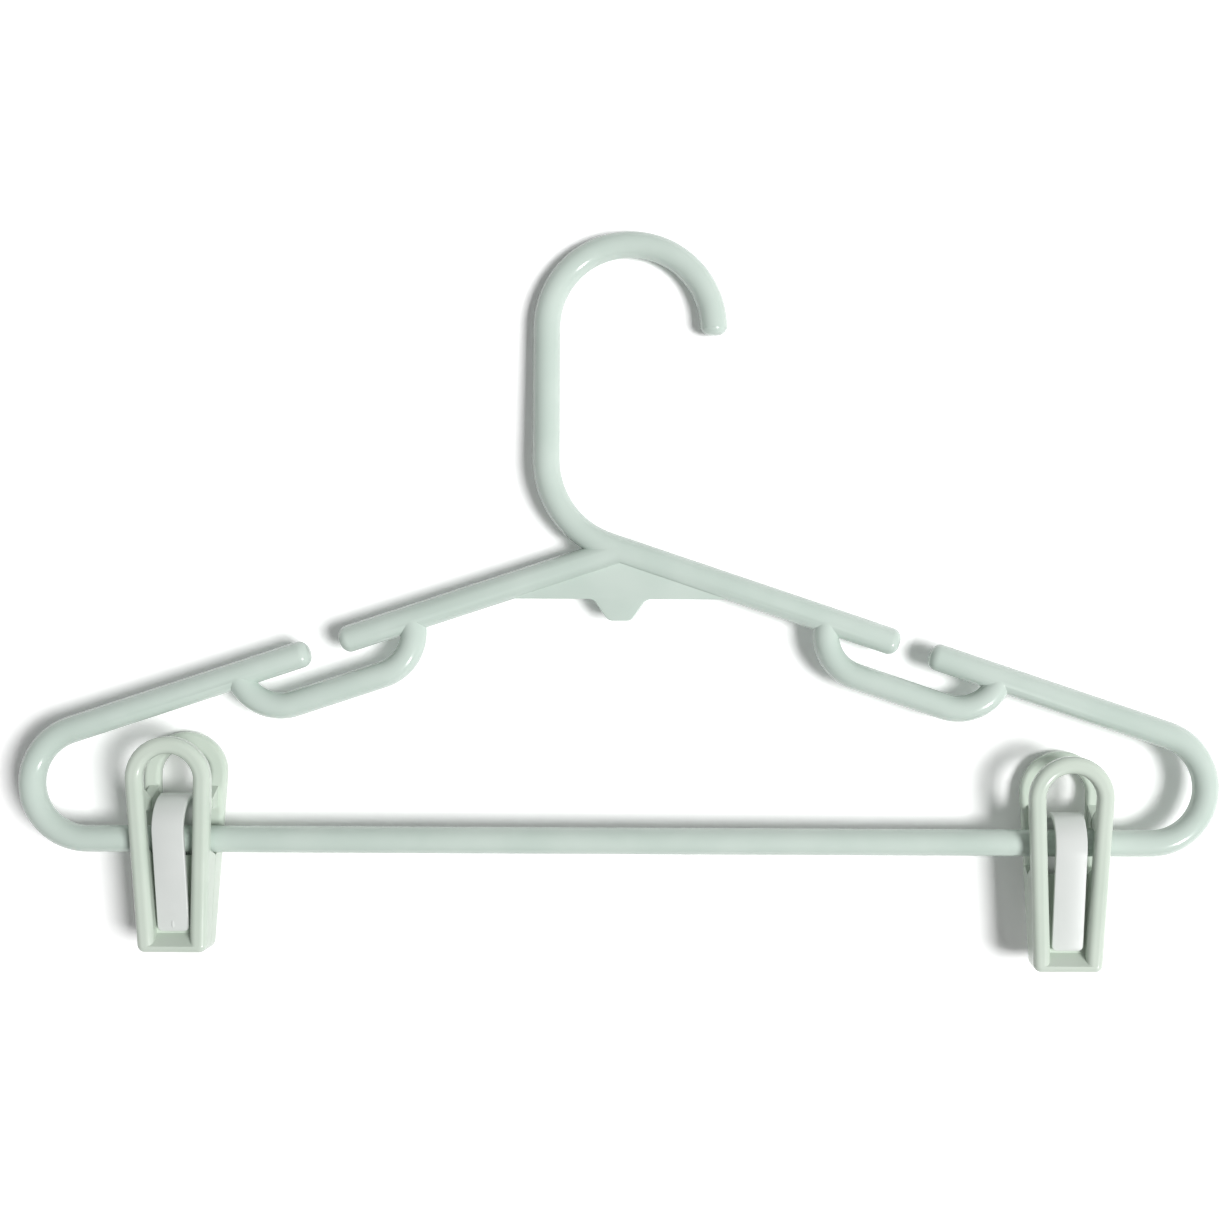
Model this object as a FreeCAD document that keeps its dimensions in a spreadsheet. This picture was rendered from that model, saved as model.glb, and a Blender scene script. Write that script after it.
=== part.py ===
"""A moulded skirt hanger with two sprung clips that slide along its trouser bar.

X runs along the bar, Z points up and the front faces -Y. The origin is the point
inside the hook that rests on a wardrobe rail, in the middle plane of the rods.
Lengths are in millimetres and angles in degrees.
"""
import FreeCAD, Part
import math
import os
from types import SimpleNamespace

import Sketcher
from FreeCAD import Placement, Rotation, Vector

SIZES = (
    # Hanger moulding: rods, hook, shoulders and bar
    ("overall_width", 420.0),
    ("rod_diameter", 9.4),
    ("tip_round", 3.4),
    ("hook_inner_radius", 24.5),
    ("hook_sweep_angle", 180.0),
    ("hook_tip_run", 2.4),
    ("hook_offset", 3.2),
    ("neck_bend_radius", 32.0),
    ("crossing_drop", 102.2),
    ("shoulder_angle", 18.4),
    ("shoulder_bend_radius", 19.5),
    # Strap notches under the shoulders
    ("notch_distance", 108.7),
    ("notch_gap", 11.3),
    ("loop_rod_diameter", 9.2),
    ("loop_depth", 15.6),
    ("loop_run", 32.5),
    # Flat web and tab under the crossing of the shoulders
    ("web_drop", 17.2),
    ("web_thickness", 2.6),
    ("tab_depth", 7.6),
    ("tab_top_width", 18.6),
    ("tab_foot_width", 8.0),
    ("tab_round", 3.0),
    # Clip jaws, seen from the front
    ("clip_height", 75.5),
    ("clip_loop_width", 29.4),
    ("rim_width", 5.9),
    ("foot_corner_round", 2.9),
    # Clip jaws, seen from the side
    ("jaw_lean_angle", 5.8),
    ("rim_depth", 5.2),
    ("rim_round", 2.3),
    ("rim_back_round", 1.6),
    ("plate_height", 33.3),
    ("plate_thickness", 1.8),
    ("closing_gap", 0.2),
    ("ramp_height", 6.2),
    ("ramp_lip", 2.4),
    ("lip_flat", 0.1),
    # Room for the bar inside a clip
    ("bar_floor_gap", 0.8),
    ("bar_play", 5.4),
    ("bar_roof_gap", 0.3),
    ("bar_side_gap", 0.6),
    ("plate_slope_height", 2.0),
    # Pivot lugs on the side rails
    ("knuckle_radius", 1.3),
    ("knuckle_clearance", 0.06),
    ("lug_half_height", 2.0),
    ("lug_running_gap", 0.1),
    ("opening_angle", 12.0),
    ("lug_slope_height", 5.0),
    ("lug_width", 3.2),
    ("lug_inset", 0.3),
    ("knuckle_inset", 0.6),
    # Grip grooves at the tips of the jaws
    ("grip_first_height", 4.0),
    ("grip_pitch", 2.8),
    ("grip_groove_depth", 0.9),
    ("grip_groove_width", 1.4),
    ("grip_side_inset", 1.2),
    # Band springs
    ("spring_width", 10.9),
    ("spring_thickness", 1.8),
    ("spring_corner_round", 1.8),
    ("spring_side_gap", 0.6),
    ("spring_bar_gap", 4.6),
    ("spring_crown_rise", 3.7),
    ("spring_foot_gap", 1.1),
    ("spring_seat_gap", 0.1),
    # Places of the clips on the bar
    ("left_clip_inset", 31.3),
    ("right_clip_inset", 29.3),
    # Overrun of every cut past the piece that it cuts
    ("cut_overrun", 5.0),
)
GRIP_GROOVES = 5
COINCIDENT = 1e-6

doc = FreeCAD.newDocument("SkirtHanger")
sheet = doc.addObject("Spreadsheet::Sheet", "Sizes")
for row, (alias, number) in enumerate(SIZES, start=1):
    sheet.set(f"A{row}", alias)
    sheet.set(f"B{row}", str(number))
    sheet.setAlias(f"B{row}", alias)
doc.recompute()
size = SimpleNamespace(**{alias: float(sheet.get(alias)) for alias, number in SIZES})


# Flat geometry: points (u, v) of a sketch plane

def flat(u, v):
    return Vector(u, v, 0)


def polar(centre, radius, angle):
    turn = math.radians(angle)
    return centre + flat(math.cos(turn), math.sin(turn)) * radius


def arc(centre, radius, start, end):
    """An arc about centre from one angle to the other, by way of the angle halfway."""
    halfway = (start + end) / 2
    return Part.Arc(*(polar(centre, radius, angle) for angle in (start, halfway, end)))


def line(start, end):
    return Part.LineSegment(start, end)


def chain(points):
    """Straight lines through the points and back to the first."""
    return [line(a, b) for a, b in zip(points, points[1:] + points[:1])]


def rounded(points, radii):
    """A closed outline through the points, with an arc at each corner that has a radius."""
    outline = []
    starts = []
    ends = []
    for i, corner in enumerate(points):
        before = (points[i - 1] - corner).normalize()
        after = (points[(i + 1) % len(points)] - corner).normalize()
        half = before.getAngle(after) / 2
        reach = radii[i] / math.tan(half)
        starts.append(corner + before * reach)
        ends.append(corner + after * reach)
        if radii[i] > 0:
            middle = (before + after).normalize()
            top = corner + middle * (radii[i] / math.sin(half) - radii[i])
            outline.append(Part.Arc(starts[i], top, ends[i]))
    for i in range(len(points)):
        outline.append(line(ends[i], starts[(i + 1) % len(points)]))
    return outline


def tangent_angle(centre, radius, point, side):
    """The angle on a circle where a line from the point touches it, on its left (-1) or right (1)."""
    away = point - centre
    base = math.degrees(math.atan2(away.y, away.x))
    return base + side * math.degrees(math.acos(radius / away.Length))


def fill(sketch, geometry):
    """Puts the geometry in the sketch and joins the ends that meet."""
    first = sketch.GeometryCount
    sketch.addGeometry(geometry, False)
    ends = [(i, end) for i in range(first, sketch.GeometryCount) for end in (1, 2)]
    for k, (i, a) in enumerate(ends):
        for j, b in ends[k + 1:]:
            if i != j and (sketch.getPoint(i, a) - sketch.getPoint(j, b)).Length < COINCIDENT:
                sketch.addConstraint(Sketcher.Constraint("Coincident", i, a, j, b))


def drive_radius(sketch, index, expression):
    """Binds the radius of one arc or circle of the sketch to the sheet."""
    radius = sketch.Geometry[index].Radius
    constraint = sketch.addConstraint(Sketcher.Constraint("Radius", index, radius))
    sketch.setExpression(f"Constraints[{constraint}]", expression)


# Hanger moulding: rods swept along paths in the middle plane

ROD_RADIUS = size.rod_diameter / 2
SLOPE = math.radians(size.shoulder_angle)
AXIS_X = -size.hook_offset
CROSSING = flat(AXIS_X, -size.crossing_drop)
BEND_X = size.overall_width / 2 - ROD_RADIUS - size.shoulder_bend_radius
BEND_Z = -(size.crossing_drop + BEND_X * math.tan(SLOPE) + size.shoulder_bend_radius / math.cos(SLOPE))
BAR_Z = BEND_Z - size.shoulder_bend_radius
UPRIGHT = Rotation(Vector(1, 0, 0), 90)


def shoulder(side, distance, below=0):
    """A point of a shoulder's line: a distance from the crossing, and below the line."""
    along = flat(side * math.cos(SLOPE), -math.sin(SLOPE))
    down = flat(-side * math.sin(SLOPE), -math.cos(SLOPE))
    return CROSSING + along * distance + down * below


def mirrored(angle, side):
    return angle if side > 0 else 180 - angle


def rod(name, path, diameter_alias):
    """A round rod along a path of lines and arcs."""
    spine = doc.addObject("Sketcher::SketchObject", f"{name}_path")
    spine.Placement = Placement(Vector(), UPRIGHT)
    fill(spine, path)
    doc.recompute()
    edges = Part.__sortEdges__(spine.Shape.Edges)
    start = edges[0]
    section = doc.addObject("Part::Circle", f"{name}_section")
    section.setExpression("Radius", f"Sizes.{diameter_alias} / 2")
    along = start.tangentAt(start.FirstParameter)
    if start.Orientation == "Reversed":
        along = start.tangentAt(start.LastParameter)
    section.Placement = Placement(start.firstVertex(True).Point, Rotation(Vector(0, 0, 1), along))
    sweep = doc.addObject("Part::Sweep", name)
    sweep.Sections = [section]
    sweep.Spine = (spine, [f"Edge{i + 1}" for i in range(len(spine.Shape.Edges))])
    sweep.Solid = True
    doc.recompute()
    return sweep


def hook_end():
    """The start of the hook's arc and the end of the short straight run to its tip."""
    angle = 180 - size.hook_sweep_angle
    start = polar(flat(0, -size.hook_inner_radius), size.hook_inner_radius + ROD_RADIUS, angle)
    return start, polar(start, size.hook_tip_run, angle - 90)


def hook_path():
    """From the hook's tip over the top, down the neck and along the right shoulder to its notch."""
    centre = flat(0, -size.hook_inner_radius)
    radius = size.hook_inner_radius + ROD_RADIUS
    arc_start, tip = hook_end()
    turn = 90 - size.shoulder_angle
    corner = flat(-radius, CROSSING.y + (CROSSING.x + radius) * math.tan(SLOPE))
    reach = size.neck_bend_radius * math.tan(math.radians(turn) / 2)
    neck_top = corner + flat(0, reach)
    neck_centre = neck_top + flat(size.neck_bend_radius, 0)
    neck_end = polar(neck_centre, size.neck_bend_radius, 180 + turn)
    return [
        line(tip, arc_start),
        arc(centre, radius, 180 - size.hook_sweep_angle, 180),
        line(polar(centre, radius, 180), neck_top),
        arc(neck_centre, size.neck_bend_radius, 180, 180 + turn),
        line(neck_end, shoulder(1, size.notch_distance - size.notch_gap / 2)),
    ]


def frame_path():
    """From the left notch round the left bend, along the bar and round to the right notch."""
    ends = {}
    bends = {}
    for side in (-1, 1):
        centre = flat(AXIS_X + side * BEND_X, BEND_Z)
        top, foot = mirrored(90 - size.shoulder_angle, side), mirrored(-90, side)
        bends[side] = arc(centre, size.shoulder_bend_radius, top, foot)
        notch = shoulder(side, size.notch_distance + size.notch_gap / 2)
        ends[side] = line(notch, polar(centre, size.shoulder_bend_radius, top))
    bar = line(flat(AXIS_X - BEND_X, BAR_Z), flat(AXIS_X + BEND_X, BAR_Z))
    return [ends[-1], bends[-1], bar, bends[1], ends[1]]


def loop_path(side):
    """The loop under a notch: a run along the shoulder between two quarter bends."""
    path = []
    for end in (-1, 1):
        distance = size.notch_distance + end * size.loop_run / 2
        halfway = size.loop_depth * math.cos(math.pi / 4)
        path.append(Part.Arc(shoulder(side, distance, size.loop_depth),
                             shoulder(side, distance + end * halfway, halfway),
                             shoulder(side, distance + end * size.loop_depth)))
    run = line(path[0].StartPoint, path[1].StartPoint)
    return [path[0], run, path[1]]


def web_outline():
    """The web between the shoulders, with the tab that hangs from its lower edge."""
    lower = CROSSING.y - size.web_drop
    reach = size.web_drop / math.tan(SLOPE)
    top = size.tab_top_width / 2
    foot = size.tab_foot_width / 2
    points = [CROSSING]
    for side in (-1, 1):
        half = [flat(AXIS_X + side * reach, lower), flat(AXIS_X + side * top, lower),
                flat(AXIS_X + side * foot, lower - size.tab_depth)]
        points += half if side < 0 else half[::-1]
    rounds = [0, 0, size.tab_round, size.tab_round, size.tab_round, size.tab_round, 0]
    return rounded(points, rounds)


def hanger_body():
    """The hook, shoulders, strap loops, bar and web as one moulding with rounded tips."""
    left_tip = shoulder(-1, size.notch_distance - size.notch_gap / 2)
    runs = [
        rod("hook_and_right_shoulder", hook_path(), "rod_diameter"),
        rod("left_shoulder", [line(CROSSING, left_tip)], "rod_diameter"),
        rod("shoulder_ends_and_bar", frame_path(), "rod_diameter"),
        rod("left_strap_loop", loop_path(-1), "loop_rod_diameter"),
        rod("right_strap_loop", loop_path(1), "loop_rod_diameter"),
    ]
    outline = doc.addObject("Sketcher::SketchObject", "web_outline")
    outline.Placement = Placement(Vector(), UPRIGHT)
    fill(outline, web_outline())
    web = doc.addObject("Part::Extrusion", "web")
    web.Base = outline
    web.DirMode = "Normal"
    web.Solid = True
    web.Symmetric = True
    web.setExpression("LengthFwd", "Sizes.web_thickness")
    joined = doc.addObject("Part::MultiFuse", "joined_rods")
    joined.Shapes = runs + [web]
    doc.recompute()
    moulding = doc.addObject("Part::Fillet", "hanger_body")
    moulding.Base = joined
    moulding.Edges = [(i, size.tip_round, size.tip_round) for i in tip_edges(joined.Shape)]
    return moulding


def tip_edges(shape):
    """The numbers of the circles that end the rods: at the notches and at the hook's tip."""
    arc_start, hook_tip = hook_end()
    tips = [hook_tip] + [shoulder(side, size.notch_distance + end * size.notch_gap / 2)
                         for side in (-1, 1) for end in (-1, 1)]
    places = [Vector(tip.x, 0, tip.y) for tip in tips]
    found = []
    for i, edge in enumerate(shape.Edges, start=1):
        if edge.Curve.TypeId == "Part::GeomCircle" and edge.Closed:
            if any((edge.Curve.Center - place).Length < COINCIDENT for place in places):
                found.append(i)
    return found


# Clip jaws: side profile, front outline, window, recess, pivot lugs and grip
# A jaw is drawn as the front one, with its pivot axis on the origin

LEAN = math.radians(size.jaw_lean_angle)
PLATE_FRONT = size.closing_gap / 2 + size.plate_thickness
ROOF_Z = -size.lug_half_height
LUG_TOP_Z = size.lug_half_height + size.lug_slope_height
LUG_RELIEF = size.lug_half_height * math.tan(math.radians(size.opening_angle)) + size.lug_running_gap
PLATE_Z = ROOF_Z - (size.bar_roof_gap + size.rod_diameter + size.bar_play + size.bar_floor_gap)
FOOT_Z = PLATE_Z - size.plate_height
TOP_Z = FOOT_Z + size.clip_height
PLATE_SLOPE_Z = PLATE_Z + size.plate_slope_height
LOW_BAR_Z = PLATE_Z + size.bar_floor_gap + ROD_RADIUS
FOOT_WIDTH = size.spring_width + 2 * (size.spring_side_gap + size.rim_width)


def back_of_rim(height):
    """How far behind the pivot axis the back of the rim lies: it passes the bar with a gap."""
    at_bar = -(ROD_RADIUS + size.bar_side_gap) / math.cos(LEAN)
    return at_bar - (height - LOW_BAR_Z) * math.tan(LEAN)


def front_of_rim(height):
    return back_of_rim(height) - size.rim_depth / math.cos(LEAN)


def inside_rim(height):
    return (front_of_rim(height) + back_of_rim(height)) / 2


def side_profile():
    """The jaw from the side, without its lugs: a leaning rim and the closed foot."""
    closing = -size.closing_gap / 2
    return chain([
        flat(closing, FOOT_Z),
        flat(front_of_rim(FOOT_Z), FOOT_Z),
        flat(front_of_rim(TOP_Z), TOP_Z),
        flat(back_of_rim(TOP_Z), TOP_Z),
        flat(back_of_rim(PLATE_SLOPE_Z), PLATE_SLOPE_Z),
        flat(closing, PLATE_Z),
    ])


def lug_profile():
    """A lug from the side: it is rooted in the rim and ends just short of the other jaw's lug."""
    return chain([
        flat(inside_rim(LUG_TOP_Z), LUG_TOP_Z),
        flat(-LUG_RELIEF, size.lug_half_height),
        flat(-LUG_RELIEF, ROOF_Z),
        flat(inside_rim(ROOF_Z), ROOF_Z),
    ])


def loop_circle():
    return flat(0, TOP_Z - size.clip_loop_width / 2), size.clip_loop_width / 2


def rail_angle():
    """The angle on the loop's circle where the right rail's straight edge starts."""
    centre, radius = loop_circle()
    return tangent_angle(centre, radius, flat(FOOT_WIDTH / 2, FOOT_Z), 1)


def rim_point(height, inset):
    """The point of the right rail's edge at a height, inset from the outer edge."""
    centre, radius = loop_circle()
    angle = rail_angle()
    touch = polar(centre, radius - inset, angle)
    return flat(touch.x + (height - touch.y) / math.tan(math.radians(angle + 90)), height)


def left_of(point):
    return flat(-point.x, point.y)


def arch(inset, foot, corner_round):
    """A round-topped outline, inset from the jaw's outer edge, down to a height."""
    centre, radius = loop_circle()
    angle = rail_angle()
    right = rim_point(foot, inset)
    shoulder_point = polar(centre, radius - inset, angle)
    loop = arc(centre, radius - inset, angle, 180 - angle)
    across = (left_of(right) - right).normalize()
    up = (shoulder_point - right).normalize()
    reach = corner_round / math.tan(across.getAngle(up) / 2)
    outline = [loop, line(shoulder_point, right + up * reach),
               line(left_of(right + up * reach), left_of(shoulder_point)),
               line(right + across * reach, left_of(right + across * reach))]
    if corner_round > 0:
        middle = (across + up).normalize()
        bulge = corner_round / math.sin(across.getAngle(up) / 2) - corner_round
        corner = [right + up * reach, right + middle * bulge, right + across * reach]
        outline.append(Part.Arc(*corner))
        outline.append(Part.Arc(*[left_of(point) for point in corner]))
    return outline


def attached(body, name, role, offset=0):
    """A sketch on one of the body's own planes, moved along the plane's normal."""
    sketch = body.newObject("Sketcher::SketchObject", name)
    plane = next(feature for feature in body.Origin.OriginFeatures if feature.Role == role)
    sketch.AttachmentSupport = (plane, [""])
    sketch.MapMode = "FlatFace"
    sketch.AttachmentOffset = Placement(Vector(0, 0, offset), Rotation())
    return sketch


def pocket(body, name, sketch, both_ways=True):
    """Cuts a sketch right through the jaw, both ways or only along the sketch's normal."""
    cut = body.newObject("PartDesign::Pocket", name)
    cut.Profile = sketch
    cut.Type = "ThroughAll"
    if both_ways:
        cut.SideType = "Symmetric"
    else:
        cut.Reversed = True
    return cut


def edges_on(feature, chosen):
    return [f"Edge{i}" for i, edge in enumerate(feature.Shape.Edges, start=1) if chosen(edge)]


def edge_points(edge):
    middle = edge.valueAt((edge.FirstParameter + edge.LastParameter) / 2)
    return [vertex.Point for vertex in edge.Vertexes] + [middle]


def rim_edge(edge):
    """Whether an edge lies on the front of the rim, other than the sharp lip of the ramp."""
    points = edge_points(edge)
    on_lip = all(abs(point.z - FOOT_Z - size.ramp_lip) < COINCIDENT for point in points)
    return not on_lip and all(abs(point.y - front_of_rim(point.z)) < COINCIDENT for point in points)


def rim_back_edge(edge):
    """Whether an edge lies on the back of the rim, other than where the rim meets the plate."""
    points = edge_points(edge)
    above_plate = any(point.z > PLATE_SLOPE_Z + COINCIDENT for point in points)
    return above_plate and all(abs(point.y - back_of_rim(point.z)) < COINCIDENT for point in points)


def jaw(label, place):
    """One jaw of a clip. Both jaws of a clip are the same moulding, turned to face each other."""
    body = doc.addObject("PartDesign::Body", label)
    profile = attached(body, f"{label}_side_profile", "YZ_Plane")
    fill(profile, side_profile())
    slab = body.newObject("PartDesign::Pad", f"{label}_slab")
    slab.Profile = profile
    slab.SideType = "Symmetric"
    slab.setExpression("Length", "Sizes.clip_loop_width + 2 * Sizes.cut_overrun")

    around = attached(body, f"{label}_outline", "XZ_Plane")
    fill(around, arch(0, FOOT_Z, size.foot_corner_round))
    wide = size.clip_loop_width / 2 + 2 * size.cut_overrun
    low, high = FOOT_Z - size.cut_overrun, TOP_Z + size.cut_overrun
    fill(around, chain([flat(-wide, low), flat(wide, low), flat(wide, high), flat(-wide, high)]))
    pocket(body, f"{label}_trim", around)

    window = attached(body, f"{label}_window", "XZ_Plane")
    fill(window, arch(size.rim_width, PLATE_Z, 0))
    pocket(body, f"{label}_window_cut", window)

    recess = attached(body, f"{label}_recess", "XZ_Plane", PLATE_FRONT)
    recess_foot = FOOT_Z + size.ramp_height
    corners = [rim_point(height, size.rim_width) for height in (recess_foot, PLATE_Z + size.cut_overrun)]
    fill(recess, chain(corners + [left_of(corner) for corner in corners[::-1]]))
    pocket(body, f"{label}_recess_cut", recess, both_ways=False)

    ramp = attached(body, f"{label}_ramp", "YZ_Plane")
    lip_z = FOOT_Z + size.ramp_lip
    inside = flat(-PLATE_FRONT, recess_foot)
    ahead = flat(front_of_rim(lip_z), lip_z)
    ahead += (ahead - inside).normalize() * size.cut_overrun
    fill(ramp, chain([inside, flat(ahead.x, recess_foot), ahead]))
    ramp_cut = body.newObject("PartDesign::Pocket", f"{label}_ramp_cut")
    ramp_cut.Profile = ramp
    ramp_cut.SideType = "Symmetric"
    ramp_cut.Length = 2 * rim_point(recess_foot, size.rim_width).x
    doc.recompute()

    front = body.newObject("PartDesign::Fillet", f"{label}_front_rounds")
    front.Base = (ramp_cut, edges_on(ramp_cut, rim_edge))
    front.setExpression("Radius", "min(Sizes.rim_round; Sizes.ramp_lip - Sizes.lip_flat)")
    doc.recompute()
    back = body.newObject("PartDesign::Fillet", f"{label}_rim_back_rounds")
    back.Base = (front, edges_on(front, rim_back_edge))
    back.setExpression("Radius", "Sizes.rim_back_round")
    doc.recompute()

    lug_inner = rim_point(LUG_TOP_Z, size.rim_width - size.lug_inset).x
    for side, name in ((1, "right"), (-1, "left")):
        lug_middle = side * (lug_inner + size.lug_width / 2)
        from_side = attached(body, f"{label}_{name}_lug_profile", "YZ_Plane", lug_middle)
        fill(from_side, lug_profile())
        lug = body.newObject("PartDesign::Pad", f"{label}_{name}_lug")
        lug.Profile = from_side
        lug.SideType = "Symmetric"
        lug.setExpression("Length", "Sizes.lug_width")

    knuckle = attached(body, f"{label}_knuckle", "YZ_Plane", lug_inner + size.knuckle_inset)
    knuckle.addGeometry(Part.Circle(flat(0, 0), Vector(0, 0, 1), size.knuckle_radius), False)
    drive_radius(knuckle, 0, "Sizes.knuckle_radius")
    peg = body.newObject("PartDesign::Pad", f"{label}_knuckle_peg")
    peg.Profile = knuckle
    peg.setExpression("Length", "Sizes.lug_width - 2 * Sizes.knuckle_inset")

    socket = attached(body, f"{label}_socket", "YZ_Plane")
    socket_radius = size.knuckle_radius + size.knuckle_clearance
    socket.addGeometry(Part.Circle(flat(0, 0), Vector(0, 0, 1), socket_radius), False)
    drive_radius(socket, 0, "Sizes.knuckle_radius + Sizes.knuckle_clearance")
    groove = body.newObject("PartDesign::Pocket", f"{label}_socket_groove")
    groove.Profile = socket
    groove.Type = "ThroughAll"

    grip = attached(body, f"{label}_grip", "YZ_Plane")
    for k in range(GRIP_GROOVES):
        height = FOOT_Z + size.grip_first_height + k * size.grip_pitch
        half = size.grip_groove_width / 2
        bottom = flat(-size.grip_groove_depth, height)
        fill(grip, chain([flat(0, height - half), flat(0, height + half), bottom]))
    grip_cut = body.newObject("PartDesign::Pocket", f"{label}_grip_cut")
    grip_cut.Profile = grip
    grip_cut.SideType = "Symmetric"
    grip_cut.Length = FOOT_WIDTH - 2 * size.grip_side_inset
    body.Tip = grip_cut
    body.Placement = place
    return body


# Band springs: one bent band each, drawn about the pivot axis of its clip

def spring_outline():
    """The band from the side: a round crown over the bar and two straight legs to the jaw tips."""
    half = size.spring_thickness / 2
    radius = ROD_RADIUS + size.spring_bar_gap + half
    centre = flat(0, size.spring_crown_rise - half - radius)
    foot_z = FOOT_Z + size.ramp_height + size.spring_foot_gap
    foot = flat(-(PLATE_FRONT + size.spring_seat_gap + half), foot_z)
    angle = tangent_angle(centre, radius, foot, -1) + 360
    sides = {}
    for offset in (half, -half):
        touch = polar(centre, radius + offset, angle)
        tip = touch + (foot - polar(centre, radius, angle))
        sides[offset] = (touch, tip, arc(centre, radius + offset, 180 - angle, angle))
    outline = [sides[half][2], sides[-half][2]]
    for turn in (flat, lambda u, v: flat(-u, v)):
        outer, inner = [[turn(p.x, p.y) for p in sides[offset][:2]] for offset in (half, -half)]
        outline += [line(outer[0], outer[1]), line(outer[1], inner[1]), line(inner[1], inner[0])]
    return outline


def foot_corner_edge(edge):
    """Whether an edge runs through the band's thickness at the corner of a foot."""
    along = edge.Vertexes[1].Point - edge.Vertexes[0].Point
    low = all(vertex.Point.z < PLATE_Z for vertex in edge.Vertexes)
    return low and abs(along.Length - size.spring_thickness) < COINCIDENT


def spring(label, place):
    body = doc.addObject("PartDesign::Body", label)
    outline = attached(body, f"{label}_outline", "YZ_Plane")
    fill(outline, spring_outline())
    drive_radius(outline, 0, "Sizes.rod_diameter / 2 + Sizes.spring_bar_gap + Sizes.spring_thickness")
    band = body.newObject("PartDesign::Pad", f"{label}_band")
    band.Profile = outline
    band.SideType = "Symmetric"
    band.setExpression("Length", "Sizes.spring_width")
    doc.recompute()
    corners = body.newObject("PartDesign::Fillet", f"{label}_foot_corners")
    corners.Base = (band, edges_on(band, foot_corner_edge))
    corners.setExpression("Radius", "Sizes.spring_corner_round")
    body.Tip = corners
    body.Placement = place
    return body


def clip(side_name, x, lift):
    """Two jaws and a spring, with the bar lifted by some of its play inside the clip."""
    pivot = Vector(x, 0, BAR_Z - LOW_BAR_Z - lift)
    ahead = Rotation()
    turned = Rotation(Vector(0, 0, 1), 180)
    return [
        jaw(f"{side_name}_front_jaw", Placement(pivot, ahead)),
        jaw(f"{side_name}_back_jaw", Placement(pivot, turned)),
        spring(f"{side_name}_spring", Placement(pivot, ahead)),
    ]


pieces = [hanger_body()]
pieces += clip("left", AXIS_X - BEND_X + size.left_clip_inset, 0)
pieces += clip("right", AXIS_X + BEND_X - size.right_clip_inset, size.bar_play)
doc.recompute()

for made in doc.Objects:
    if "Invalid" in made.State or "Error" in made.State:
        raise RuntimeError(f"{made.Label} failed: {made.State}")
for piece in pieces:
    if piece.Shape.isNull() or not piece.Shape.isValid() or len(piece.Shape.Solids) != 1:
        raise RuntimeError(f"{piece.Label} is not one valid solid")

os.makedirs("parts", exist_ok=True)
for piece in pieces:
    piece.Shape.exportStep(f"parts/{piece.Label}.step")
    box = piece.Shape.BoundBox
    print(f"{piece.Label}: {piece.Shape.Volume:.0f} mm3, x {box.XMin:.1f} to {box.XMax:.1f}, "
          f"y {box.YMin:.1f} to {box.YMax:.1f}, z {box.ZMin:.1f} to {box.ZMax:.1f}")
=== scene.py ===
# %% [markdown]
# A skirt hanger of pale green moulded plastic, laid on a white sheet and photographed from
# straight above. The hanger is one moulding. Two clips run along its bar: each has two
# equal jaws that rock on each other, and a white bent band that springs them shut.
# The imported model gives the true sizes and the moving bodies, so it is loaded first.

# %% Load the frame
import math

import bmesh
import bpy
from mathutils import Matrix, Vector


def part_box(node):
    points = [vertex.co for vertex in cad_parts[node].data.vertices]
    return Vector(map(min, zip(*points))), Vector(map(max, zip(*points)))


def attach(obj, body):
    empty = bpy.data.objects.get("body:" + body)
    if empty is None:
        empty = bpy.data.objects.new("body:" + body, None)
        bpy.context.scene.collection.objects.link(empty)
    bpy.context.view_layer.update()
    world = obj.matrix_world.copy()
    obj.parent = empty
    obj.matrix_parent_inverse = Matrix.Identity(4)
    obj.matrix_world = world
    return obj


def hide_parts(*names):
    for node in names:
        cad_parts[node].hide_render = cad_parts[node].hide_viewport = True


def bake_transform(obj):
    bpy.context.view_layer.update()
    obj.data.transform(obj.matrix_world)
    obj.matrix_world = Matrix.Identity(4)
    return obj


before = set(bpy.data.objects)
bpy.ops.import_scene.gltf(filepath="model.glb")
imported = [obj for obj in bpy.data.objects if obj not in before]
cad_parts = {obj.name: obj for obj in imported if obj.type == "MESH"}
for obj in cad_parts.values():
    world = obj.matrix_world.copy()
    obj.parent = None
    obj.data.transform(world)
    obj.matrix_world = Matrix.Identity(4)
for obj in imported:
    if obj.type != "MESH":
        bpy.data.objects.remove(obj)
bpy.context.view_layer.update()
scene = bpy.context.scene
scene.view_settings.view_transform = "Standard"
MM = 0.001
QUARTER_TURN = math.radians(90)
HALF_TURN = math.radians(180)
print("nodes:", sorted(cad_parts))

# %% [markdown]
# A few helpers come first, because the later steps lean on them. Objects could be made with
# bpy.ops, as a click in the interface makes them, but that depends on what is selected. So
# data is made directly, and in_scene shows it as an object. A piece is built as a bmesh,
# Blender's mesh for editing, and piece_from turns it into an object at the origin.
# A material is a tree of nodes: add_node places one, and feeds each of its inputs with
# a plain value or with the output of another node.

# %% Object helpers
def in_scene(name, data):
    """An object of the scene, at the origin, that shows data."""
    made = bpy.data.objects.new(name, data)
    scene.collection.objects.link(made)
    return made


def piece_from(bm, name):
    """Turns a finished bmesh into an object, and says how it came out."""
    mesh = bpy.data.meshes.new(name)
    bm.to_mesh(mesh)
    open_edges = sum(not edge.is_manifold for edge in bm.edges)
    print(name, len(bm.faces), "faces,", open_edges, "open edges")
    bm.free()
    return in_scene(name, mesh)


def rounded(bm, geom, offset, segments, affect="EDGES"):
    """Rounds edges, or the corners of a flat outline, with an arc of a circle."""
    bmesh.ops.bevel(bm, geom=geom, offset=offset, segments=segments, profile=0.5,
                    affect=affect, material=-1)


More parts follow.
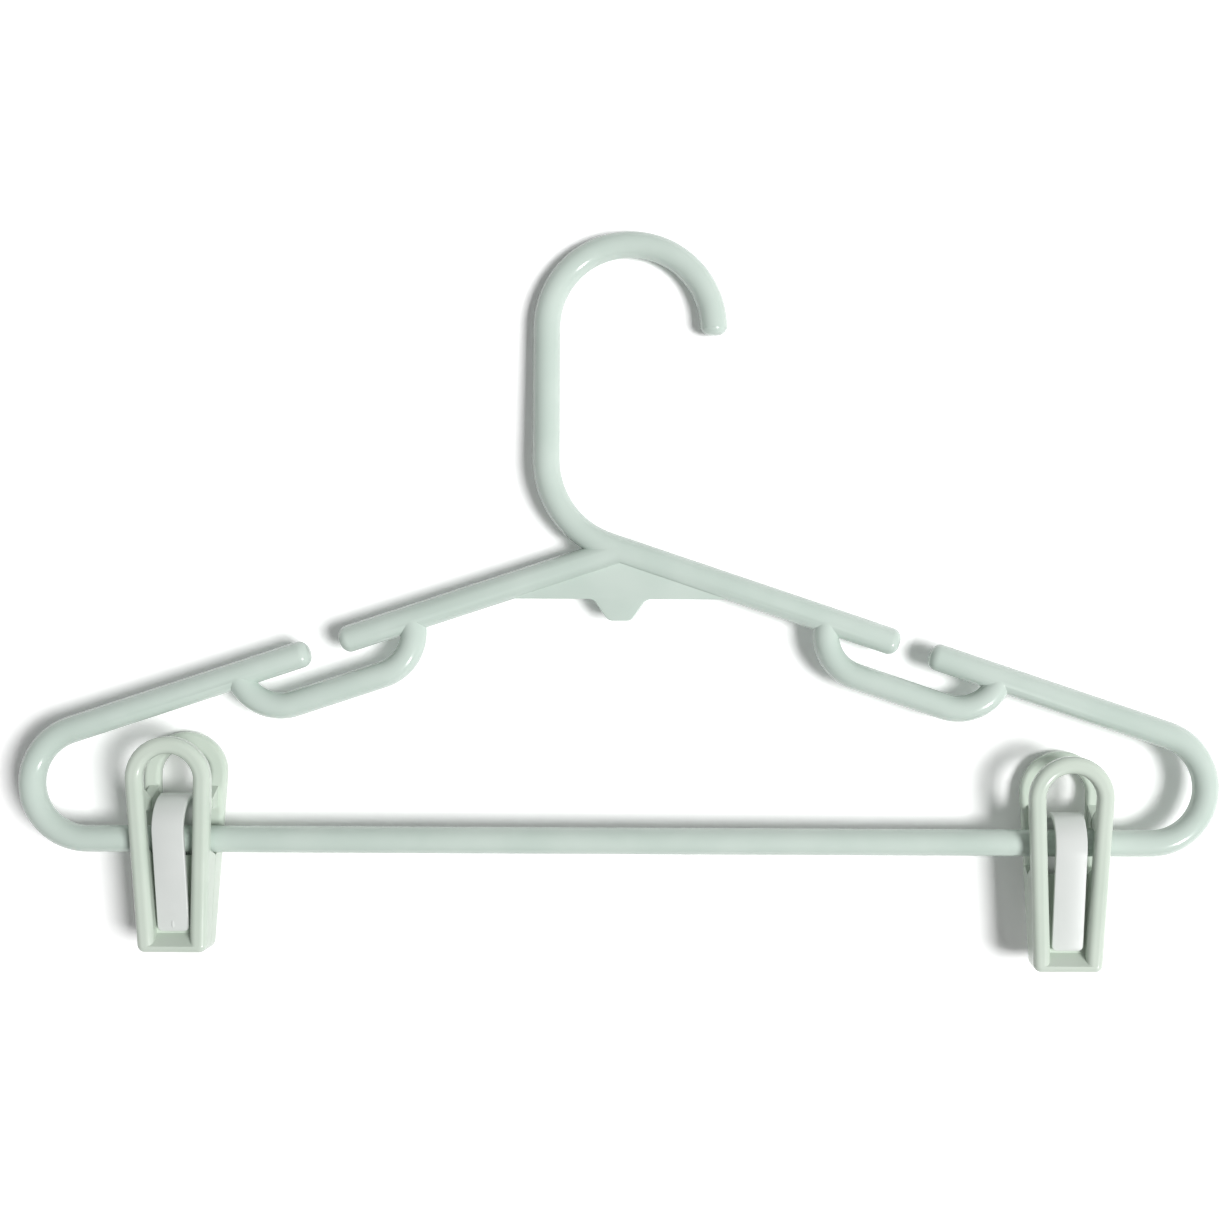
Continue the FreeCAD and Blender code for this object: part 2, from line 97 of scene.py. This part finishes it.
# %% Node helpers
def add_node(tree, kind, inputs=None, **settings):
    """A new node, with its settings made before its inputs are fed."""
    node = tree.nodes.new(kind)
    for key, value in settings.items():
        setattr(node, key, value)
    for key, value in (inputs or {}).items():
        if isinstance(value, bpy.types.NodeSocket):
            tree.links.new(value, node.inputs[key])
        else:
            node.inputs[key].default_value = value
    return node


def math_node(tree, operation, first, second):
    return add_node(tree, "ShaderNodeMath", {0: first, 1: second}, operation=operation).outputs[0]


def mixed(tree, kind, factor, first, second):
    """Goes from first to second as factor rises: kind is RGBA for colours, FLOAT for numbers."""
    node = add_node(tree, "ShaderNodeMix", {"Factor": factor, "A": first, "B": second},
                    data_type=kind)
    return node.outputs["Result"]


def noise(tree, place, scale, detail, roughness):
    node = add_node(tree, "ShaderNodeTexNoise", {
        "Vector": place, "Scale": scale, "Detail": detail, "Roughness": roughness})
    return node.outputs["Fac"]


def stretched(tree, place, scale):
    node = add_node(tree, "ShaderNodeMapping", {"Vector": place, "Scale": scale})
    return node.outputs["Vector"]


def ramp(tree, value, low, high):
    node = add_node(tree, "ShaderNodeMapRange", {
        "Value": value, "From Min": low, "From Max": high}, interpolation_type="SMOOTHSTEP")
    return node.outputs["Result"]


# %% [markdown]
# The picture was taken from a fixed height, with the camera a little to the right of the
# hanger's middle: that shows in how far the back loop of each clip peeps out beside the
# front one. One could turn the camera towards the hanger, but then straight rods would
# converge. So it looks squarely at the sheet, and the lens is shifted to frame the hanger,
# as an architect's camera does. The slight roll is the photographer's own.

# %% Camera
PHOTO_WIDTH = 1220
MM_PER_PIXEL = 0.35
HOOK_PIXEL = (629.0, 258.5)
EYE_PIXEL = (735.0, 610.0)
EYE_DISTANCE = 600.0
PHOTO_ROLL = math.radians(-0.28)
SENSOR_WIDTH = 36.0

camera_data = bpy.data.cameras.new("photo_camera")
camera = in_scene("photo_camera", camera_data)
camera.location = Vector((
    (EYE_PIXEL[0] - HOOK_PIXEL[0]) * MM_PER_PIXEL,
    -EYE_DISTANCE,
    (HOOK_PIXEL[1] - EYE_PIXEL[1]) * MM_PER_PIXEL,
)) * MM
camera.rotation_euler = (QUARTER_TURN, PHOTO_ROLL, 0)
camera_data.sensor_width = SENSOR_WIDTH
camera_data.lens = SENSOR_WIDTH * EYE_DISTANCE / (PHOTO_WIDTH * MM_PER_PIXEL)
camera_data.shift_x = (PHOTO_WIDTH / 2 - EYE_PIXEL[0]) / PHOTO_WIDTH
camera_data.shift_y = (EYE_PIXEL[1] - PHOTO_WIDTH / 2) / PHOTO_WIDTH
scene.camera = camera
print("camera at", [round(v, 3) for v in camera.location], "lens", round(camera_data.lens, 2))

# %% [markdown]
# The sheet stands upright here, because the model hangs upright. The hanger touches it at
# the hook and at the back loops of the clips, so the sheet leans by three degrees and catches
# soft shadows close behind the rods. It is a real lit surface. One could make it white with
# more light, but that would bleach the plastic too. So its colour is brighter in what the
# camera and the reflections see of it, which leaves both the shadows and the light that it
# throws back on the hanger. Seen from behind it is clear, so the back can be looked at.

# %% White sheet
SHEET_HALF = 1.6
SHEET_TOUCHES_HOOK = Vector((0, 4.8, 9.0)) * MM
SHEET_TOUCHES_CLIPS = Vector((0, 14.15, -168.0)) * MM
SHEET_WHITE = (0.92, 0.92, 0.92, 1)
SHEET_SEEN = (1.2, 1.2, 1.2, 1)


def sheet_material():
    material = bpy.data.materials.new("white_sheet")
    material.use_nodes = True
    tree = material.node_tree
    tree.nodes.clear()
    paths = add_node(tree, "ShaderNodeLightPath")
    seen = math_node(tree, "MAXIMUM", paths.outputs["Is Camera Ray"],
                     paths.outputs["Is Glossy Ray"])
    seen = math_node(tree, "MAXIMUM", seen, paths.outputs["Is Transmission Ray"])
    white = mixed(tree, "RGBA", seen, SHEET_WHITE, SHEET_SEEN)
    diffuse = add_node(tree, "ShaderNodeBsdfDiffuse", {"Color": white})
    clear = add_node(tree, "ShaderNodeBsdfTransparent")
    geometry = add_node(tree, "ShaderNodeNewGeometry")
    sides = add_node(tree, "ShaderNodeMixShader", {
        0: geometry.outputs["Backfacing"], 1: diffuse.outputs[0], 2: clear.outputs[0]})
    add_node(tree, "ShaderNodeOutputMaterial", {"Surface": sides.outputs[0]})
    return material


sheet_slope = SHEET_TOUCHES_HOOK - SHEET_TOUCHES_CLIPS
sheet_tilt = math.atan2(-sheet_slope.y, sheet_slope.z)
sheet_turn = Matrix.Rotation(QUARTER_TURN + sheet_tilt, 3, "X")
sheet = bmesh.new()
bmesh.ops.create_grid(sheet, x_segments=1, y_segments=1, size=SHEET_HALF)
bmesh.ops.rotate(sheet, verts=sheet.verts, matrix=sheet_turn)
bmesh.ops.translate(sheet, verts=sheet.verts, vec=SHEET_TOUCHES_CLIPS)
backdrop = piece_from(sheet, "white_sheet")
backdrop.data.materials.append(sheet_material())
print("sheet leans", round(math.degrees(sheet_tilt), 2), "degrees")

# %% [markdown]
# The shadows fall to the left with soft edges: they tell of a wide softbox to the right of
# the camera. The glossy bends also carry short bright glints, and those tell of a narrow
# strip further down. One lamp could not be both, because a wide one mirrors as a broad grey
# band. So the softbox only lights the hanger and is hidden from reflections, and the strip
# is seen in reflections alone. A pale world fills the rest, and the softbox's power is set
# so that a colour renders about as it is written.

# %% Lamps
HANGER_MIDDLE = Vector((0, 0, -0.12))
WORLD_LEVEL = 0.22

world = bpy.data.worlds.new("pale_room")
world.use_nodes = True
world.node_tree.nodes["Background"].inputs["Color"].default_value = (1, 1, 1, 1)
world.node_tree.nodes["Background"].inputs["Strength"].default_value = WORLD_LEVEL
scene.world = world


def strip_lamp(name, direction, distance, long_side, length, width, watts):
    """A softbox: it faces the middle of the hanger, and its long side lies along long_side."""
    lamp = bpy.data.lights.new(name, "AREA")
    lamp.shape = "RECTANGLE"
    lamp.size = length
    lamp.size_y = width
    lamp.energy = watts
    holder = in_scene(name, lamp)
    back = Vector(direction).normalized()
    across = back.cross(Vector(long_side)).normalized()
    turn = Matrix((across.cross(back), across, back)).transposed()
    holder.location = HANGER_MIDDLE + back * distance
    holder.rotation_euler = turn.to_euler()
    print(name, [round(v, 2) for v in holder.location])
    return holder


key_softbox = strip_lamp("key_softbox", direction=(0.60, -1.0, -0.14), distance=3.0,
                         long_side=(0.0, 0.0, 1.0), length=0.95, width=0.95, watts=84.0)
key_softbox.visible_glossy = False
glint_strip = strip_lamp("glint_strip", direction=(0.55, -0.62, -0.56), distance=2.0,
                         long_side=(0.70, 0.0, -0.71), length=0.45, width=0.07, watts=16.0)
glint_strip.visible_diffuse = False

# %% [markdown]
# Moulded plastic is never one flat colour. The melt flows in and leaves faint clouds,
# handling leaves hairline scuffs that catch the light, and the steel mould prints a very
# fine grain. Three materials share these marks, so they are a node group, built once and
# placed in each material with its own values. Object coordinates are used: the pattern is
# then fixed in the plastic, whatever way the piece is turned later.

# %% Marks of moulding
CLOUDS_PER_METRE = 38
GRAIN_PER_METRE = 2600
SCUFF_STRETCH = (900, 900, 70)
SCUFF_DEPTH = 0.1
MARK_INPUTS = {"Deep Colour": "NodeSocketColor", "Pale Colour": "NodeSocketColor",
               "Smooth Roughness": "NodeSocketFloat", "Scuffed Roughness": "NodeSocketFloat"}
MARK_OUTPUTS = {"Colour": "NodeSocketColor", "Roughness": "NodeSocketFloat",
                "Height": "NodeSocketFloat"}


def moulding_marks():
    group = bpy.data.node_groups.new("moulding_marks", "ShaderNodeTree")
    for in_out, sockets in (("INPUT", MARK_INPUTS), ("OUTPUT", MARK_OUTPUTS)):
        for name, kind in sockets.items():
            group.interface.new_socket(name, in_out=in_out, socket_type=kind)
    given = add_node(group, "NodeGroupInput")
    place = add_node(group, "ShaderNodeTexCoord").outputs["Object"]
    clouds = noise(group, place, scale=CLOUDS_PER_METRE, detail=3, roughness=0.5)
    clouds = ramp(group, clouds, low=0.3, high=0.7)
    streaks = stretched(group, place, SCUFF_STRETCH)
    scuffs = noise(group, streaks, scale=1.0, detail=2, roughness=0.55)
    scuffs = ramp(group, scuffs, low=0.5, high=0.8)
    grain = noise(group, place, scale=GRAIN_PER_METRE, detail=2, roughness=0.6)

    colour = mixed(group, "RGBA", clouds, given.outputs["Deep Colour"],
                   given.outputs["Pale Colour"])
    rough = mixed(group, "FLOAT", scuffs, given.outputs["Smooth Roughness"],
                  given.outputs["Scuffed Roughness"])
    scratches = math_node(group, "MULTIPLY", scuffs, SCUFF_DEPTH)
    height = math_node(group, "SUBTRACT", grain, scratches)
    add_node(group, "NodeGroupOutput", {"Colour": colour, "Roughness": rough, "Height": height})
    return group


MARKS = moulding_marks()
print("group outputs:", [s.name for s in MARKS.interface.items_tree if s.in_out == "OUTPUT"])

# %% [markdown]
# The hanger and the jaws are the same kind of glossy, pale green plastic, and the jaws are
# a shade warmer. The bands are whiter and duller: a spring needs a tougher plastic, and it
# leaves the mould with less shine. So one function builds all three materials, and only
# the two ends of the colour clouds and of the roughness are given for each.

# %% Plastic materials
GRAIN_DEPTH = 0.00002
GRAIN_STRENGTH = 0.5


def plastic(name, deep, pale, smooth, scuffed):
    material = bpy.data.materials.new(name)
    material.use_nodes = True
    tree = material.node_tree
    shader = tree.nodes["Principled BSDF"]
    marks = add_node(tree, "ShaderNodeGroup", {
        "Deep Colour": deep, "Pale Colour": pale,
        "Smooth Roughness": smooth, "Scuffed Roughness": scuffed}, node_tree=MARKS)
    bump = add_node(tree, "ShaderNodeBump", {
        "Distance": GRAIN_DEPTH, "Strength": GRAIN_STRENGTH, "Height": marks.outputs["Height"]})
    tree.links.new(marks.outputs["Colour"], shader.inputs["Base Color"])
    tree.links.new(marks.outputs["Roughness"], shader.inputs["Roughness"])
    tree.links.new(bump.outputs["Normal"], shader.inputs["Normal"])
    return material


HANGER_PLASTIC = plastic("hanger_plastic", deep=(0.580, 0.680, 0.618, 1),
                         pale=(0.632, 0.725, 0.665, 1), smooth=0.17, scuffed=0.24)
CLIP_PLASTIC = plastic("clip_plastic", deep=(0.603, 0.690, 0.600, 1),
                       pale=(0.648, 0.725, 0.640, 1), smooth=0.19, scuffed=0.27)
SPRING_PLASTIC = plastic("spring_plastic", deep=(0.705, 0.735, 0.712, 1),
                         pale=(0.75, 0.775, 0.755, 1), smooth=0.34, scuffed=0.46)
for material in (HANGER_PLASTIC, CLIP_PLASTIC, SPRING_PLASTIC):
    print(material.name, [link.to_socket.name for link in material.node_tree.links
                          if link.to_node.type == "BSDF_PRINCIPLED"])

# %% [markdown]
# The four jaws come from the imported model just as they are: their rounded rims, recesses
# and lugs are already true. Only their finish is replaced.

# %% Jaws
for name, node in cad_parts.items():
    node.data.materials.clear()
    if name.endswith("jaw"):
        node.data.materials.append(CLIP_PLASTIC)
print("jaws:", sorted(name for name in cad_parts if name.endswith("jaw")))

# %% [markdown]
# The hanger is a round rod bent in one plane, with branches. The mould opens to the front
# and back, so a hair-fine parting ridge runs down both sides of every rod. One could give
# a curve a round bevel, but the ridge would need a profile of its own, which can twist along
# the curve. Here a ring of edges walks along the rod's line like a turtle: straight runs are
# extruded and bends are spun. The ring's two vertices in the middle plane stand about a tenth
# of a millimetre proud, and they stay in that plane all the way.

# %% Rod tools
ROD_SIDES = 72
PARTING_RIDGE = 0.12 * MM
BEND_STEP = math.radians(4)
TIP_SEGMENTS = 8
TOUCH = 1e-7


def right_of(heading):
    """The direction to the right of a heading, seen from the front."""
    return Vector((heading.z, 0, -heading.x))


def ring(bm, place, heading, radius):
    """A loop of edges round a rod's line, square to its heading."""
    turn = Matrix((right_of(heading), Vector((0, 1, 0)), heading)).transposed().to_4x4()
    made = bmesh.ops.create_circle(bm, cap_ends=False, segments=ROD_SIDES,
                                   radius=radius - PARTING_RIDGE,
                                   matrix=Matrix.Translation(place) @ turn)
    for vert in made["verts"]:
        if abs(vert.co.y) < TOUCH:
            vert.co += (vert.co - place).normalized() * PARTING_RIDGE
    return list({edge for vert in made["verts"] for edge in vert.link_edges})


def among(made, kind):
    return [element for element in made if isinstance(element, kind)]


def run(bm, edges, step):
    """Extrudes the ring straight on, and returns the new end ring."""
    made = bmesh.ops.extrude_edge_only(bm, edges=edges)["geom"]
    verts = set(among(made, bmesh.types.BMVert))
    bmesh.ops.translate(bm, vec=step, verts=list(verts))
    return [edge for edge in among(made, bmesh.types.BMEdge) if set(edge.verts) <= verts]


def bend(bm, edges, centre, angle):
    """Spins the ring about a bend's centre, and returns the new end ring."""
    verts = list({vert for edge in edges for vert in edge.verts})
    steps = max(1, round(abs(angle) / BEND_STEP))
    made = bmesh.ops.spin(bm, geom=edges + verts, cent=centre, axis=(0, 1, 0), angle=angle,
                          steps=steps)
    return among(made["geom_last"], bmesh.types.BMEdge)


def close_end(bm, edges, rounding):
    """Caps an open end, and rounds its edge where it is a free tip."""
    face = bmesh.ops.contextual_create(bm, geom=edges)["faces"][0]
    if rounding:
        rounded(bm, list(face.edges), rounding, TIP_SEGMENTS)


def rod(name, place, heading, radius, moves, tips):
    """A rod along moves, with the roundings of its two ends in tips.

    A move (length,) runs straight on, and (radius, angle) bends clockwise seen from the front.
    """
    bm = bmesh.new()
    place, heading = place.copy(), heading.normalized()
    first = last = ring(bm, place, heading, radius)
    for move in moves:
        if len(move) == 1:
            step = heading * move[0]
            last = run(bm, last, step)
            place += step
        else:
            sweep = math.copysign(move[0], move[1])
            centre = place + right_of(heading) * sweep
            last = bend(bm, last, centre, move[1])
            turn = Matrix.Rotation(move[1], 3, "Y")
            place = centre + turn @ (place - centre)
            heading = turn @ heading
    for edges, rounding in zip((first, last), tips):
        close_end(bm, edges, rounding)
    bmesh.ops.recalc_face_normals(bm, faces=bm.faces)
    print(name, "ends at", [round(v / MM, 2) for v in place])
    return piece_from(bm, name)


# %% [markdown]
# These are the hanger's own sizes, in millimetres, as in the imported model. The shoulders
# slope down from a crossing below the hook, and every place on them is given as a distance
# from that crossing.

# %% Hanger sizes
ROD_RADIUS = 4.7 * MM
LOOP_ROD_RADIUS = 4.6 * MM
TIP_ROUND = 3.4 * MM
HOOK_RADIUS = 29.2 * MM
HOOK_TIP_RUN = 2.4 * MM
NECK_RADIUS = 32.0 * MM
CROSSING = Vector((-3.2, 0, -102.2)) * MM
SHOULDER_SLOPE = math.radians(18.4)
HALF_WIDTH = 210.0 * MM
BEND_RADIUS = 19.5 * MM
NOTCH_DISTANCE = 108.7 * MM
NOTCH_GAP = 11.3 * MM
LOOP_DEPTH = 15.6 * MM
LOOP_RUN = 32.5 * MM

bend_offset = HALF_WIDTH - ROD_RADIUS - BEND_RADIUS
shoulder_end = (bend_offset + BEND_RADIUS * math.sin(SHOULDER_SLOPE)) / math.cos(SHOULDER_SLOPE)
notch_inner = NOTCH_DISTANCE - NOTCH_GAP / 2
notch_outer = NOTCH_DISTANCE + NOTCH_GAP / 2


def along_shoulder(side):
    """Down a shoulder from the crossing: side is -1 for the left, 1 for the right."""
    return Vector((side * math.cos(SHOULDER_SLOPE), 0, -math.sin(SHOULDER_SLOPE)))


def under_shoulder(side):
    """Straight down from a shoulder, square to it."""
    return Vector((-side * math.sin(SHOULDER_SLOPE), 0, -math.cos(SHOULDER_SLOPE)))


print("shoulder runs", round(shoulder_end / MM, 2), "mm to its bend")

# %% [markdown]
# Five rods make the frame: the hook with the right shoulder, the left shoulder, the outer
# shoulders with the bar between them, and a strap loop under each shoulder.

# %% Rods
up = Vector((0, 0, 1))
neck_turn = QUARTER_TURN - SHOULDER_SLOPE
neck_reach = NECK_RADIUS * math.tan(neck_turn / 2)
neck_rise = (CROSSING.x + HOOK_RADIUS) * math.tan(SHOULDER_SLOPE)
neck_corner = Vector((-HOOK_RADIUS, 0, CROSSING.z + neck_rise))
hook_middle = -(HOOK_RADIUS - ROD_RADIUS)
stem_run = hook_middle - neck_corner.z - neck_reach
neck_to_crossing = (CROSSING - neck_corner).length - neck_reach

hook_rod = rod(
    "hook_rod", Vector((HOOK_RADIUS, 0, hook_middle - HOOK_TIP_RUN)), up, ROD_RADIUS,
    [(HOOK_TIP_RUN,), (HOOK_RADIUS, -HALF_TURN), (stem_run,), (NECK_RADIUS, -neck_turn),
     (neck_to_crossing + notch_inner,)],
    (TIP_ROUND, TIP_ROUND))
left_rod = rod(
    "left_rod", CROSSING, along_shoulder(-1), ROD_RADIUS, [(notch_inner,)], (0, TIP_ROUND))
bend_turn = HALF_TURN - SHOULDER_SLOPE
frame_rod = rod(
    "frame_rod", CROSSING + along_shoulder(-1) * notch_outer, along_shoulder(-1), ROD_RADIUS,
    [(shoulder_end - notch_outer,), (BEND_RADIUS, -bend_turn), (2 * bend_offset,),
     (BEND_RADIUS, -bend_turn), (shoulder_end - notch_outer,)],
    (TIP_ROUND, TIP_ROUND))
loop_rods = []
for side, name in ((-1, "left_loop_rod"), (1, "right_loop_rod")):
    start = CROSSING + along_shoulder(side) * (NOTCH_DISTANCE - LOOP_RUN / 2 - LOOP_DEPTH)
    quarter = -side * QUARTER_TURN
    loop_rods.append(rod(
        name, start, under_shoulder(side), LOOP_ROD_RADIUS,
        [(LOOP_DEPTH, quarter), (LOOP_RUN,), (LOOP_DEPTH, quarter)], (0, 0)))

# %% [markdown]
# Under the crossing a thin flat web fills the angle between the shoulders, with a small
# tab on its lower edge. Its outline is a few vertices: the tab's corners are rounded by
# a vertex bevel while the web is still flat, and then it is extruded to its thickness.

# %% Web
WEB_DROP = 17.2 * MM
WEB_THICKNESS = 2.6 * MM
TAB_DEPTH = 7.6 * MM
TAB_TOP = 18.6 * MM
TAB_FOOT = 8.0 * MM
TAB_ROUND = 3.0 * MM
TAB_SEGMENTS = 6
WEB_EDGE = 0.35 * MM
EDGE_SEGMENTS = 3


def tab_rounding(vert):
    """How far from a corner its rounding starts."""
    first, second = [(edge.other_vert(vert).co - vert.co) for edge in vert.link_edges]
    return TAB_ROUND / math.tan(first.angle(second) / 2)


def web_piece():
    bm = bmesh.new()
    reach = WEB_DROP / math.tan(SHOULDER_SLOPE)
    right_half = [(TAB_FOOT / 2, WEB_DROP + TAB_DEPTH), (TAB_TOP / 2, WEB_DROP), (reach, WEB_DROP)]
    outline = [(0, 0)] + [(-x, drop) for x, drop in right_half[::-1]] + right_half
    verts = [bm.verts.new(CROSSING + Vector((x, 0, -drop))) for x, drop in outline]
    bm.faces.new(verts)
    tab_corners = verts[2:6]
    for vert in tab_corners:
        rounded(bm, [vert], tab_rounding(vert), TAB_SEGMENTS, affect="VERTICES")
    made = bmesh.ops.extrude_face_region(bm, geom=list(bm.faces))["geom"]
    bmesh.ops.translate(bm, verts=among(made, bmesh.types.BMVert), vec=(0, WEB_THICKNESS, 0))
    bmesh.ops.translate(bm, verts=bm.verts, vec=(0, -WEB_THICKNESS / 2, 0))
    bmesh.ops.recalc_face_normals(bm, faces=bm.faces)
    rims = [edge for edge in bm.edges if abs(edge.verts[0].co.y - edge.verts[1].co.y) < TOUCH]
    rounded(bm, rims, WEB_EDGE, EDGE_SEGMENTS)
    return piece_from(bm, "web_plate")


web_plate = web_piece()

# %% [markdown]
# The rods and the web are one moulding, so they are joined into one skin by boolean
# unions, which also removes what lies inside. The result is baked to a plain mesh, and
# its creases are kept sharp by angle while everything else shades smooth.

# %% One moulding
CREASE_ANGLE = math.radians(32)
WELD = 0.002 * MM


def smooth_piece(bm, name, finish):
    """A piece in one finish that shades smooth, apart from its creases."""
    for face in bm.faces:
        face.smooth = True
    piece = piece_from(bm, name)
    piece.data.set_sharp_from_angle(angle=CREASE_ANGLE)
    piece.data.materials.append(finish)
    return piece


def joined(name, base, others, finish):
    """One skin round base and others, which are taken out of the scene."""
    for other in others:
        union = base.modifiers.new(f"join_{other.name}", "BOOLEAN")
        union.operation = "UNION"
        union.solver = "EXACT"
        union.object = other
    graph = bpy.context.evaluated_depsgraph_get()
    baked = bpy.data.meshes.new_from_object(base.evaluated_get(graph))
    for piece in [base] + others:
        bpy.data.objects.remove(piece)
    bm = bmesh.new()
    bm.from_mesh(baked)
    bpy.data.meshes.remove(baked)
    bmesh.ops.remove_doubles(bm, verts=bm.verts, dist=WELD)
    bmesh.ops.dissolve_degenerate(bm, edges=bm.edges, dist=WELD)
    return smooth_piece(bm, name, finish)


moulded_hanger = joined("moulded_hanger", hook_rod,
                        [left_rod, frame_rod] + loop_rods + [web_plate], HANGER_PLASTIC)
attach(moulded_hanger, "hanger")
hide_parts("hanger_body")

# %% [markdown]
# Each spring is one bent band of white plastic: a round crown over the bar, and a straight
# leg down into the recess of each jaw. When the clip opens, the crown stays with the clip
# and each leg leans out with its jaw. A piece can bend between two bodies only, so the
# band is made as two halves that meet at the top of the crown, where neither moves.
# A half starts as one edge across the band: spun for the crown, extruded for the leg.

# %% Spring sizes
SPRING_WIDTH = 10.9 * MM
SPRING_THICKNESS = 1.8 * MM
CROWN_RADIUS = 11.1 * MM
CROWN_TOP = 3.7 * MM
FOOT_HEIGHT = -43.9 * MM
FOOT_OUT = 2.9 * MM
FOOT_ROUND = 1.8 * MM
FOOT_SEGMENTS = 5
BAND_EDGE = 0.4 * MM
BAND_CORNER = math.radians(50)
CROWN_STEPS = 26
LEG_STEPS = 20
GATE_HALF_SIZE = Vector((0.5, 1.5, 0.25)) * MM
GATE_ABOVE_FOOT = 2.6 * MM
GATE_SIDES = 16
GATE_RINGS = 10

crown_centre = CROWN_TOP - CROWN_RADIUS
foot_reach = Vector((FOOT_OUT, FOOT_HEIGHT - crown_centre))
band_radius = CROWN_RADIUS - SPRING_THICKNESS / 2
foot_bearing = math.atan2(foot_reach.x, -foot_reach.y)
leg_bearing = math.acos(band_radius / foot_reach.length)
crown_sweep = HALF_TURN - foot_bearing - leg_bearing
leg_length = math.sqrt(foot_reach.length ** 2 - band_radius ** 2)
print("crown sweeps", round(math.degrees(crown_sweep), 1), "degrees,",
      "leg", round(leg_length / MM, 2), "mm")

# %% [markdown]
# The half is a single sheet at first, on the outside of the band. Its two foot corners are
# rounded by a vertex bevel, solidify gives it its thickness, and an edge bevel takes the
# sharpness off the long edges. The seam at the crown stays square, so that the halves meet.
# The plastic enters the mould at one foot, and the cut-off gate leaves a small scar there:
# a low lens, half sunk in the band. It faces front on the left spring and back on the right.

# %% Spring halves
def leg_heading(side):
    """The way a leg runs from its crown: side is -1 for the front, 1 for the back."""
    return Vector((0, side * math.cos(crown_sweep), -math.sin(crown_sweep)))


def thick_band(bm):
    """Gives the sheet its thickness and soft edges, apart from the seam at the crown."""
    faces = list(bm.faces)
    if faces[0].normal.z < 0:
        bmesh.ops.reverse_faces(bm, faces=faces)
    bmesh.ops.solidify(bm, geom=faces, thickness=SPRING_THICKNESS)
    bmesh.ops.recalc_face_normals(bm, faces=bm.faces)
    corners = [edge for edge in bm.edges if edge.calc_face_angle(0) > BAND_CORNER
               and any(abs(vert.co.y) > TOUCH for vert in edge.verts)]
    rounded(bm, corners, BAND_EDGE, EDGE_SEGMENTS)


def gate_scar(bm, crown, side):
    """A low lens on the outside of a leg, a little above its foot."""
    out = Vector((0, side * math.sin(crown_sweep), math.cos(crown_sweep)))
    down = leg_heading(side)
    place = crown + out * CROWN_RADIUS + down * (leg_length - GATE_ABOVE_FOOT)
    turn = Matrix((down.cross(out), down, out)).transposed().to_4x4()
    lens = Matrix.Translation(place) @ turn @ Matrix.Diagonal(GATE_HALF_SIZE).to_4x4()
    bmesh.ops.create_uvsphere(bm, u_segments=GATE_SIDES, v_segments=GATE_RINGS, radius=1,
                              matrix=lens)


def spring_half(name, pivot, side, has_gate):
    """Half a band, from the top of its crown to one foot."""
    bm = bmesh.new()
    crown = pivot + Vector((0, 0, crown_centre))
    ends = [bm.verts.new(pivot + Vector((x, 0, CROWN_TOP)))
            for x in (-SPRING_WIDTH / 2, SPRING_WIDTH / 2)]
    top = bm.edges.new(ends)
    made = bmesh.ops.spin(bm, geom=ends + [top], cent=crown, axis=(1, 0, 0),
                          angle=-side * crown_sweep, steps=CROWN_STEPS)
    last = among(made["geom_last"], bmesh.types.BMEdge)
    step = leg_heading(side) * (leg_length / LEG_STEPS)
    for _ in range(LEG_STEPS):
        last = run(bm, last, step)
    rounded(bm, list(last[0].verts), FOOT_ROUND, FOOT_SEGMENTS, affect="VERTICES")
    thick_band(bm)
    if has_gate:
        gate_scar(bm, crown, side)
    return smooth_piece(bm, name, SPRING_PLASTIC)


for hand in ("left", "right"):
    low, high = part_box(f"{hand}_spring")
    pivot = Vector(((low[0] + high[0]) / 2, 0, high[2] - CROWN_TOP))
    gated = "front" if hand == "left" else "back"
    for side, face in ((-1, "front"), (1, "back")):
        half = spring_half(f"{hand}_spring_{face}", pivot, side, face == gated)
        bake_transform(half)
        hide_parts(f"{hand}_spring")
